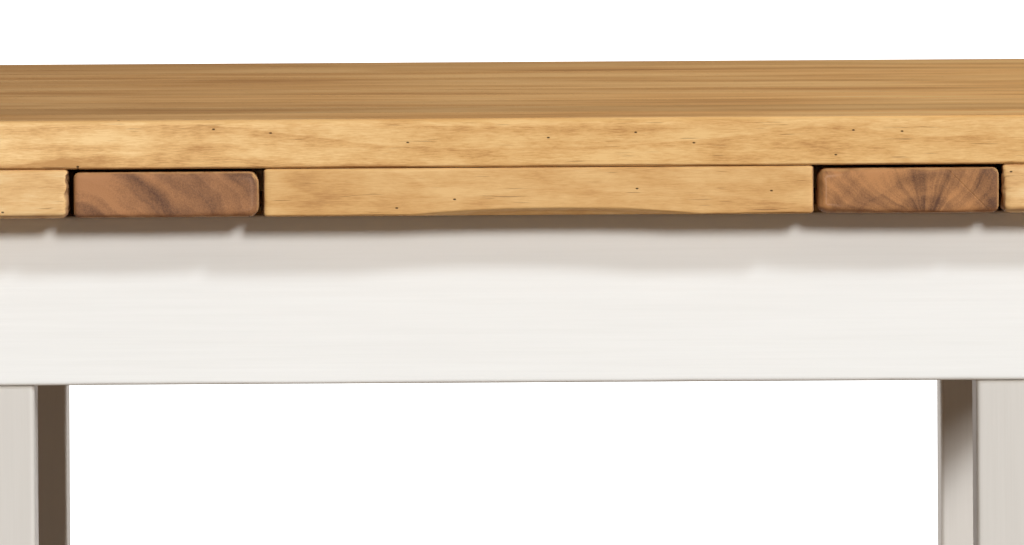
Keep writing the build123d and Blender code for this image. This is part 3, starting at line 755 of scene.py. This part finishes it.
def finish_cad_nodes():
    """Materials for the CAD nodes that stay as they are, hidden in the frame."""
    dark = pine("dark_pine", Y, 92, pith=(140.0, 560.0), ring=7.0, light=(0.34, 0.20, 0.10),
                dark=(0.20, 0.11, 0.05), roughness=0.62)
    plain = {}
    for axis, letter in ((X, "x"), (Y, "y")):
        plain[axis] = pine("plain_pine_" + letter, axis, 90 + axis, pith=(140.0, 560.0), ring=7.0,
                           light=(0.80, 0.62, 0.38), dark=(0.62, 0.42, 0.21), roughness=0.62,
                           gloss=0.25)
    metal = zinc("zinc_steel")
    soft = felt("felt")
    glides = glide_plastic("glide_plastic")
    runs_in_y = ("guides", "cleats")
    slot_of = {part["node"]: part["material_slot"] for part in frame["record"]["subparts"]}
    for node, made in frame["nodes"].items():
        slot = slot_of[node]
        if "guide" in node:
            material = dark
        elif slot in ("plain_pine", "dowel_beech"):
            material = plain[Y if node.endswith(runs_in_y) or "brace" in node else X]
        else:
            material = {"zinc_steel": metal, "felt": soft, "glide_plastic": glides}.get(slot)
        if material is not None:
            made.data.materials.clear()
            made.data.materials.append(material)


# ---- studio --------------------------------------------------------------------------------
SENSOR = 36.0
VIEW_DISTANCE = 15.0          # camera to the table's near end
VIEW_HEIGHT = 0.4318          # above the top
VIEW_WIDTH = 0.668            # what the frame's width covers at the near end
VIEW_OFFSET = -0.0161         # from the table's middle to the camera
PITCH = 2.034                 # degrees below the level
YAW = 0.080                   # degrees towards +X
ROLL = 0.34                   # degrees


def make_camera():
    """A long lens in front of the near end, a little above the top."""
    low, high = cad_box
    data = bpy.data.cameras.new("camera")
    data.sensor_width = SENSOR
    data.lens = SENSOR * VIEW_DISTANCE / VIEW_WIDTH
    data.clip_start = 0.5
    data.clip_end = 400.0
    camera = bpy.data.objects.new("camera", data)
    bpy.context.scene.collection.objects.link(camera)
    place = Matrix.Translation((VIEW_OFFSET, low.y - VIEW_DISTANCE, high.z + VIEW_HEIGHT))
    yaw = Matrix.Rotation(math.radians(-YAW), 4, "Z")
    pitch = Matrix.Rotation(math.radians(90.0 - PITCH), 4, "X")
    roll = Matrix.Rotation(math.radians(-ROLL), 4, "Z")
    camera.matrix_world = place @ (yaw @ pitch) @ roll
    bpy.context.scene.camera = camera


FLOOR_REACH = 400.0
FLOOR_DROP = 0.4 * MM         # keeps the floor just clear of the feet
FLOOR_GLOW = (1.6, 3.2)       # over this stretch behind the table the floor brightens to white
BOUNCE = (0.29, 0.21, 0.145)  # what the floor reflects onto the table


def make_floor():
    """A plain pale floor that brightens to white behind the table."""
    size = FLOOR_REACH
    mesh = bpy.data.meshes.new("floor")
    corners = [(-size, -size, 0), (size, -size, 0), (size, size, 0), (-size, size, 0)]
    mesh.from_pydata(corners, [], [(0, 1, 2, 3)])
    floor = bpy.data.objects.new("floor", mesh)
    floor.location.z = -FLOOR_DROP
    bpy.context.scene.collection.objects.link(floor)
    g = Graph("floor")
    back = g.split(g.place())[Y]
    grit = g.noise(g.place(), scale=3.0, detail=4.0)
    pale = g.ramp(grit, [(0.3, (0.83, 0.82, 0.80)), (0.7, (0.87, 0.86, 0.84))])
    path = g.tree.nodes.new("ShaderNodeLightPath")
    g.put(g.shader.inputs["Base Color"], g.mix(path.outputs["Is Camera Ray"], BOUNCE, pale))
    g.shader.inputs["Roughness"].default_value = 0.9
    g.shader.inputs["Specular IOR Level"].default_value = 0.1
    g.shader.inputs["Emission Color"].default_value = (1.0, 1.0, 1.0, 1.0)
    g.put(g.shader.inputs["Emission Strength"], g.span(back, *FLOOR_GLOW, smooth=True))
    mesh.materials.append(g.material)


def sun_light(name, azimuth, elevation, strength, angle, colour):
    """Parallel light, its angles in degrees. azimuth 0 comes from -Y, and 90 from -X."""
    data = bpy.data.lights.new(name, "SUN")
    data.energy = strength
    data.angle = math.radians(angle)
    data.color = colour
    lamp = bpy.data.objects.new(name, data)
    a, e = math.radians(azimuth), math.radians(elevation)
    source = Vector((-math.sin(a) * math.cos(e), -math.cos(a) * math.cos(e), math.sin(e)))
    lamp.rotation_euler = (-source).to_track_quat("-Z", "Y").to_euler()
    bpy.context.scene.collection.objects.link(lamp)


def make_light():
    """A low main light and a cool one from the front right, and dimmer ones for the other sides."""
    sun_light("main_light", azimuth=-18.0, elevation=15.97, strength=1.99, angle=9.0,
              colour=(1.0, 1.0, 0.99))
    sun_light("second_light", azimuth=-40.0, elevation=32.4, strength=1.40, angle=7.0,
              colour=(0.92, 1.0, 1.08))
    for side, azimuth, strength in (("left", 115.0, 1.2), ("right", -118.0, 1.1)):
        sun_light(side + "_light", azimuth, elevation=13.0, strength=strength, angle=14.0,
                  colour=(1.0, 0.99, 0.97))


def make_surround():
    """A dim warm surround that is seen as white."""
    world = bpy.data.worlds.new("surround")
    world.use_nodes = True
    tree = world.node_tree
    tree.nodes.clear()
    output = tree.nodes.new("ShaderNodeOutputWorld")
    lit = tree.nodes.new("ShaderNodeBackground")
    lit.inputs["Color"].default_value = (1.0, 0.97, 0.93, 1.0)
    lit.inputs["Strength"].default_value = 0.10
    seen = tree.nodes.new("ShaderNodeBackground")
    seen.inputs["Color"].default_value = (1.0, 1.0, 1.0, 1.0)
    path = tree.nodes.new("ShaderNodeLightPath")
    both = tree.nodes.new("ShaderNodeMixShader")
    tree.links.new(path.outputs["Is Camera Ray"], both.inputs[0])
    tree.links.new(lit.outputs[0], both.inputs[1])
    tree.links.new(seen.outputs[0], both.inputs[2])
    tree.links.new(both.outputs[0], output.inputs["Surface"])
    bpy.context.scene.world = world
    bpy.context.scene.view_settings.view_transform = "Standard"
    bpy.context.scene.view_settings.look = "None"


make_camera()
make_floor()
make_light()
make_surround()
make_top()
make_strips()
make_runners()
make_crossbars()
make_leaves()
make_painted()
finish_cad_nodes()
